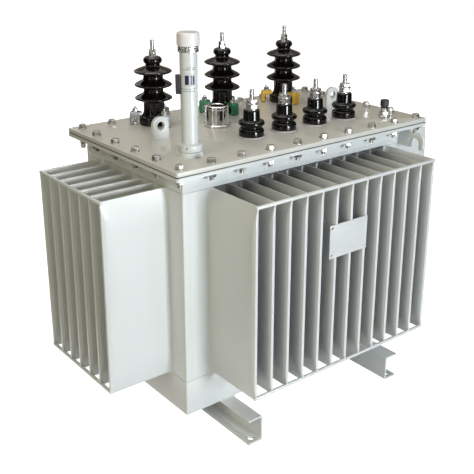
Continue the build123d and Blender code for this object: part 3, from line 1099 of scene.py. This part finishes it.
class Nodes:
    """The node tree of a material or a world."""

    def __init__(self, owner):
        owner.use_nodes = True
        self.tree = owner.node_tree

    def node(self, kind, settings=(), inputs=(), output=0):
        """Any node: its settings first, then values or links for its sockets."""
        node = self.tree.nodes.new(kind)
        for key, value in dict(settings).items():
            setattr(node, key, value)
        for key, value in dict(inputs).items():
            if isinstance(value, Signal):
                self.tree.links.new(value.socket, node.inputs[key])
            else:
                node.inputs[key].default_value = value
        return Signal(self, node.outputs[output]) if node.outputs else None


class Finish(Nodes):
    """A material with one Principled shader."""

    def __init__(self, **constants):
        self.material = bpy.data.materials.new("finish")
        super().__init__(self.material)
        self.shader = self.tree.nodes["Principled BSDF"]
        for key, value in constants.items():
            self.shader.inputs[key.replace("_", " ").title().replace("Ior", "IOR")].default_value = value
        self.place = self.node("ShaderNodeTexCoord", output="Object")

    def noise(self, scale, detail=2.0, stretch=(1, 1, 1)):
        """Cloudy variation between 0 and 1, at so many lumps to the metre."""
        place = self.node("ShaderNodeMapping", (), {"Vector": self.place, "Scale": stretch})
        return self.node("ShaderNodeTexNoise", (), {"Vector": place, "Scale": scale, "Detail": detail})

    def mix(self, factor, a, b):
        """From colour a to colour b."""
        ends = {6: a if isinstance(a, Signal) else (*a, 1.0), 7: b if isinstance(b, Signal) else (*b, 1.0)}
        return self.node("ShaderNodeMix", {"data_type": "RGBA"}, {0: factor, **ends}, output=2)

    def axis(self, letter):
        """One coordinate in metres."""
        return self.node("ShaderNodeSeparateXYZ", (), {0: self.place}, output=letter)

    def bump(self, height, distance, under=None):
        """Relief of so many metres, on top of another one where it is given."""
        inputs = {"Height": height, "Distance": distance, "Strength": 1.0}
        if under:
            inputs["Normal"] = under
        return self.node("ShaderNodeBump", (), inputs)

    def feed(self, **sockets):
        """Links signals to the shader's sockets and gives back the material."""
        for key, signal in sockets.items():
            self.tree.links.new(signal.socket, self.shader.inputs[key.replace("_", " ").title()])
        return self.material


def shade(colour, factor):
    """A colour made lighter or darker, worked out in Python."""
    return tuple(min(1.0, channel * factor) for channel in colour)


# %% [markdown]
# ### Painted steel
#
# The tank is sprayed with a pale grey enamel. Sprayed paint has a fine orange-peel skin, a slow
# waviness that follows the sheet below, and a clear gloss over a softer body. Deep between the fins
# the tone is darkened towards their roots. That is painted shade, which stands in for the shadow in
# the gaps, so it stays dark under any light. It stands for thin spray and dust, which is a guess: the
# dark there may be shadow alone. The lid has the same paint in a warmer tone, and it is so smooth
# that the bushings mirror in it.


# %% Enamels
# The mask for the painted shade deep between the fins, where shadow falls in the gaps.
def deep_between_fins(finish, along, across, root, depth, gaps):
    """0 at a pack's outer edge and outside the pack, rising to 1 at the roots of its fins."""
    reach = root + depth
    half_length = (gaps * fin_pitch - fin_thickness + mm) / 2
    out = finish.axis(across).math("ABSOLUTE", 0.0)
    inside = out.over(root - 2 * mm) * (1 - finish.axis(along).math("ABSOLUTE", 0.0).over(half_length))
    height = finish.axis("Z")
    inside = inside * height.over(fin_bottom - mm) * (1 - height.over(fins_top + mm))
    return ((reach - out) * (1 / (reach - root))).held() * inside


def enamel(colour, gloss, peel, warmth=0.0, painted_shade=0.0):
    """Sprayed enamel. gloss is the coat's weight, peel the depth of its skin in metres."""
    finish = Finish(Coat_Weight=gloss, Coat_Roughness=0.05, Specular_Ior_Level=0.5)
    cloud = finish.noise(3.5, 3.0)
    tone = finish.mix(cloud, shade(colour, 0.94), shade(colour, 1.05))
    warm = tuple(channel * tint for channel, tint in zip(colour, (1.0, 0.96, 0.88)))
    patches = (finish.noise(1.6, 1.0) - 0.45).held() * warmth
    tone = finish.mix(patches, tone, warm)
    # Painted shade: the tone darkens towards the fins' roots and stands in for the shadow in the gaps.
    if painted_shade:
        long_packs = deep_between_fins(finish, "X", "Y", tank_y, front_depth, 12)
        short_packs = deep_between_fins(finish, "Y", "X", tank_x, side_depth, 6)
        tone = finish.mix(long_packs * painted_shade + short_packs * (painted_shade / 4), tone, shade(colour, 0.07))
    rough = 0.30 + 0.16 * finish.noise(26.0, 3.0)
    wave = finish.bump(finish.noise(7.0, 1.0), 0.0016)
    skin = finish.bump(finish.noise(330.0, 2.0), peel, under=wave)
    return finish.feed(Base_Color=tone, Roughness=rough, Normal=skin)


def cast_paint(colour):
    """Brushed paint on a rough casting, with a tone that varies at random."""
    finish = Finish(Coat_Weight=0.35, Coat_Roughness=0.2)
    grain = finish.noise(420.0, 3.0)
    tone = finish.mix(finish.noise(60.0, 2.0), shade(colour, 0.72), shade(colour, 1.2))
    relief = finish.bump(grain, 0.0005)
    return finish.feed(Base_Color=tone, Roughness=0.35 + 0.25 * grain, Normal=relief)


# %% [markdown]
# ### Porcelain, metal, rubber and plastic
#
# The porcelain's glaze is nearly black, with brown where it thins out in places. Zinc plating is
# bright but cloudy, chrome is even and mirror-like, and the rubber and plastic parts are plain with a
# fine grain.


# %% Glaze and metals
def glaze():
    """Dark brown glaze that thins to a warmer brown in places."""
    finish = Finish(Specular_Ior_Level=0.42)
    thin = ((finish.noise(40.0, 3.0) - 0.5) * 3.0).held()
    tone = finish.mix(thin, (0.004, 0.0033, 0.003), (0.012, 0.008, 0.006))
    ripple = finish.bump(finish.noise(55.0, 2.0), 0.0006)
    return finish.feed(Base_Color=tone, Roughness=0.06 + 0.05 * finish.noise(90.0), Normal=ripple)


def plating(colour, roughness, cloudiness):
    """Zinc plating: bright crystals with a cloudy sheen."""
    finish = Finish(Metallic=1.0)
    cloud = finish.noise(120.0, 4.0)
    tone = finish.mix(cloud, shade(colour, 1 - cloudiness), shade(colour, 1 + cloudiness))
    grain = finish.noise(900.0, 2.0)
    relief = finish.bump(grain, 0.00012)
    return finish.feed(Base_Color=tone, Roughness=roughness + 0.15 * cloud, Normal=relief)


def chrome():
    """Polished chrome with faint turning marks round the drum."""
    finish = Finish(Metallic=1.0)
    marks = finish.noise(30.0, 3.0, stretch=(1, 1, 40))
    tone = finish.mix(marks, (0.72, 0.71, 0.69), (0.84, 0.83, 0.81))
    relief = finish.bump(marks, 0.00006)
    return finish.feed(Base_Color=tone, Roughness=0.06 + 0.06 * marks, Normal=relief)


def moulded(colour, gloss, grain_depth):
    """Moulded plastic, rubber or a pressed gasket."""
    finish = Finish(Coat_Weight=gloss, Coat_Roughness=0.12)
    cloud = finish.noise(45.0, 3.0)
    tone = finish.mix(cloud, shade(colour, 0.88), shade(colour, 1.1))
    relief = finish.bump(finish.noise(1100.0, 2.0), grain_depth)
    return finish.feed(Base_Color=tone, Roughness=0.62 - 0.35 * gloss + 0.1 * cloud, Normal=relief)


def sheet_paint(colour):
    """Flat white paint on thin sheet, with faint smears."""
    finish = Finish(Coat_Weight=0.15, Coat_Roughness=0.3)
    smear = finish.noise(38.0, 4.0, stretch=(1, 1, 3))
    tone = finish.mix(smear, shade(colour, 0.93), shade(colour, 1.04))
    relief = finish.bump(smear, 0.0003)
    return finish.feed(Base_Color=tone, Roughness=0.45 + 0.15 * smear, Normal=relief)


# %% Dress every piece
finishes = {
    # The tank paint carries painted shade towards the fins' roots.
    "tank_paint": enamel((0.63, 0.655, 0.66), 0.4, 0.00006, warmth=0.4, painted_shade=0.95),
    "lid_paint": enamel((0.62, 0.615, 0.585), 0.6, 0.00003, warmth=0.5),
    "gasket_rubber": moulded((0.12, 0.12, 0.115), 0.0, 0.0002),
    "pale_gasket": moulded((0.52, 0.50, 0.50), 0.1, 0.0002),
    "porcelain": glaze(),
    "bright_zinc": plating((0.66, 0.66, 0.64), 0.2, 0.14),
    "bolt_steel": plating((0.56, 0.55, 0.52), 0.24, 0.25),
    "grey_zinc": plating((0.42, 0.42, 0.44), 0.35, 0.25),
    "green_paint": cast_paint((0.012, 0.19, 0.075)),
    "yellow_paint": cast_paint((0.85, 0.50, 0.04)),
    "chrome_plate": chrome(),
    "white_plastic": moulded((0.80, 0.78, 0.81), 0.6, 0.00003),
    "black_plastic": moulded((0.013, 0.013, 0.014), 0.15, 0.00008),
    "white_plate": sheet_paint((0.58, 0.60, 0.61)),
    "gauge_glass": moulded((0.012, 0.014, 0.075), 1.0, 0.00001),
    "scale_ink": moulded((0.10, 0.17, 0.20), 0.0, 0.00001),
}
for name, material in finishes.items():
    material.name = name
for name, look in finish_of.items():
    bpy.data.objects[name].data.materials.clear()
    bpy.data.objects[name].data.materials.append(finishes[look])
node_slots = {part["node"]: part["material_slot"] for part in frame["record"]["subparts"]}
for node, obj in frame["nodes"].items():
    for material_slot in obj.material_slots:
        material_slot.material = finishes[node_slots[node]]
print("dressed:", len(finish_of), "pieces in", len(finishes), "finishes")

# %% [markdown]
# ## Floor, light and camera
#
# The floor is a pale plane that keeps the object's shadow, in an oval round the object, and glows
# white beyond it. To the camera, and to mirrors, the world is plain white. One large soft lamp
# stands low in front, so the fronts are bright, and a warm one on the left leaves the left sides and
# the gaps between the fins darker. The gaps are darkened further by the shade painted into the
# tank's enamel.


# %% Floor
def bare(owner):
    """The node tree of a material or a world, emptied."""
    nodes = Nodes(owner)
    nodes.tree.nodes.clear()
    return nodes


def in_sight(nodes):
    """1 for what the camera, a mirror or glass sees, and 0 for the light that falls on things."""
    kinds = ("Is Camera Ray", "Is Glossy Ray", "Is Transmission Ray")
    camera, mirror, glass = (nodes.node("ShaderNodeLightPath", output=kind) for kind in kinds)
    return camera.math("MAXIMUM", mirror).math("MAXIMUM", glass)


only()
bpy.ops.mesh.primitive_plane_add(size=14)
floor = bpy.context.object
floor.name = "floor"
floor.data.materials.append(bpy.data.materials.new("pale_floor"))
ground = bare(floor.data.materials[0])
matt = ground.node("ShaderNodeBsdfDiffuse", (), {"Color": (0.5, 0.5, 0.5, 1)})
place = ground.node("ShaderNodeTexCoord", output="Object")
oval = {"Vector": place, "Location": (-0.27, -0.48, 0), "Scale": (1.7, 2.4, 1)}
oval = ground.node("ShaderNodeMapping", (), oval)
distance = ground.node("ShaderNodeVectorMath", {"operation": "LENGTH"}, {0: oval}, output="Value")
rise = {"Value": distance, "From Min": 0.4, "From Max": 0.75, "To Min": 0.0, "To Max": 1.0}
rise = ground.node("ShaderNodeMapRange", (), rise)
glow = ground.node("ShaderNodeEmission", (), {"Color": (1, 1, 1, 1), "Strength": rise})
none = ground.node("ShaderNodeEmission", (), {"Strength": 0.0})
seen = ground.node("ShaderNodeMixShader", (), {0: in_sight(ground), 1: none, 2: glow})
total = ground.node("ShaderNodeAddShader", (), {0: matt, 1: seen})
ground.node("ShaderNodeOutputMaterial", (), {"Surface": total})

# %% World and lamps
world = bpy.data.worlds.new("studio")
bpy.context.scene.world = world
sky = bare(world)
white = sky.node("ShaderNodeBackground", (), {"Color": (1, 1, 1, 1), "Strength": 1.0})
soft = sky.node("ShaderNodeBackground", (), {"Color": (1.0, 0.95, 0.86, 1), "Strength": 0.11})
seen = sky.node("ShaderNodeMixShader", (), {0: in_sight(sky), 1: soft, 2: white})
sky.node("ShaderNodeOutputWorld", (), {"Surface": seen})


def lamp(name, place, aim, size, power, colour):
    """A square area lamp that looks at a point."""
    only()
    bpy.ops.object.light_add(type="AREA", location=place)
    obj = bpy.context.object
    obj.name = name
    obj.data.size = size
    obj.data.energy = power
    obj.data.color = colour
    obj.rotation_euler = (Vector(aim) - Vector(place)).to_track_quat("-Z", "Y").to_euler()


lamp("key", (0.2, -4.0, 0.85), (0, 0, 0.45), 1.1, 132, (0.90, 0.965, 1.0))
lamp("left_fill", (-3.3, -1.0, 2.0), (0, 0, 0.45), 2.2, 43, (1.0, 0.91, 0.64))
lamp("top", (-0.3, 0.3, 4.2), (0, 0, 0.6), 2.2, 54, (1.0, 0.97, 0.90))
lamp("back_fill", (1.4, 3.6, 1.6), (0, 0, 0.45), 2.0, 70, (0.97, 0.99, 1.0))
bpy.data.objects["back_fill"].visible_glossy = False

# %% [markdown]
# Polished metal and glaze need something dark to mirror, or they would look as pale as the room.
# A wide funnel of dark cards stands round the object, seen by mirrors alone. The slots between the
# cards become bright upright streaks on the porcelain and the chrome, and a lit strip in one slot
# gives them their sharpest glint. Behind, where the lid mirrors, the card is a warm grey.

# %% Dark cards
card_step = 3
dark_arcs = ((-165, -84), (-78, -51), (-45, -9), (9, 27), (33, 99))
warm_arc = (105, 174)


def mirrored(obj, colour, strength):
    """Makes a mesh glow for mirrors alone."""
    obj.data.materials.append(bpy.data.materials.new(obj.name))
    nodes = bare(obj.data.materials[0])
    glow = nodes.node("ShaderNodeEmission", (), {"Color": (*colour, 1), "Strength": strength})
    nodes.node("ShaderNodeOutputMaterial", (), {"Surface": glow})
    for kind in ("camera", "diffuse", "transmission", "volume_scatter", "shadow"):
        setattr(obj, "visible_" + kind, False)


def cards(name, arcs, colour):
    """The faces of a funnel that lie in the given arcs, in degrees from the front."""
    only()
    sides = 360 // card_step
    bpy.ops.mesh.primitive_cone_add(
        vertices=sides, radius1=0.85, radius2=3.2, depth=3.4, end_fill_type="NOTHING"
    )
    obj = bpy.context.object
    obj.location.z = 1.71
    settle(obj)
    obj.name = name
    edit(obj)

    def spare(middle, _):
        angle = math.degrees(math.atan2(middle.x, -middle.y))
        return not any(start < angle < end for start, end in arcs)

    drop_faces(obj, spare)
    bpy.ops.object.mode_set(mode="OBJECT")
    mirrored(obj, colour, 1.0)


cards("dark_cards", dark_arcs, (0.012, 0.012, 0.012))
cards("warm_card", [warm_arc], (0.30, 0.26, 0.19))
mirrored(block("glint_strip", (-0.11, -1.31, 0.02), (-0.05, -1.30, 1.30)), (1.0, 1.0, 1.0), 22.0)

# %% Camera
camera_data = bpy.data.cameras.new("camera")
camera_data.lens = 62.35
camera_data.sensor_width = 36
camera_data.shift_y = -0.0844
camera = bpy.data.objects.new("camera", camera_data)
camera.location = (-1.2435, -1.5256, 1.1495)
camera.rotation_euler = (math.radians(90 - 19.17), math.radians(-0.05), math.radians(-38.12))
bpy.context.scene.collection.objects.link(camera)
bpy.context.scene.camera = camera
bpy.context.scene.view_settings.view_transform = "Standard"
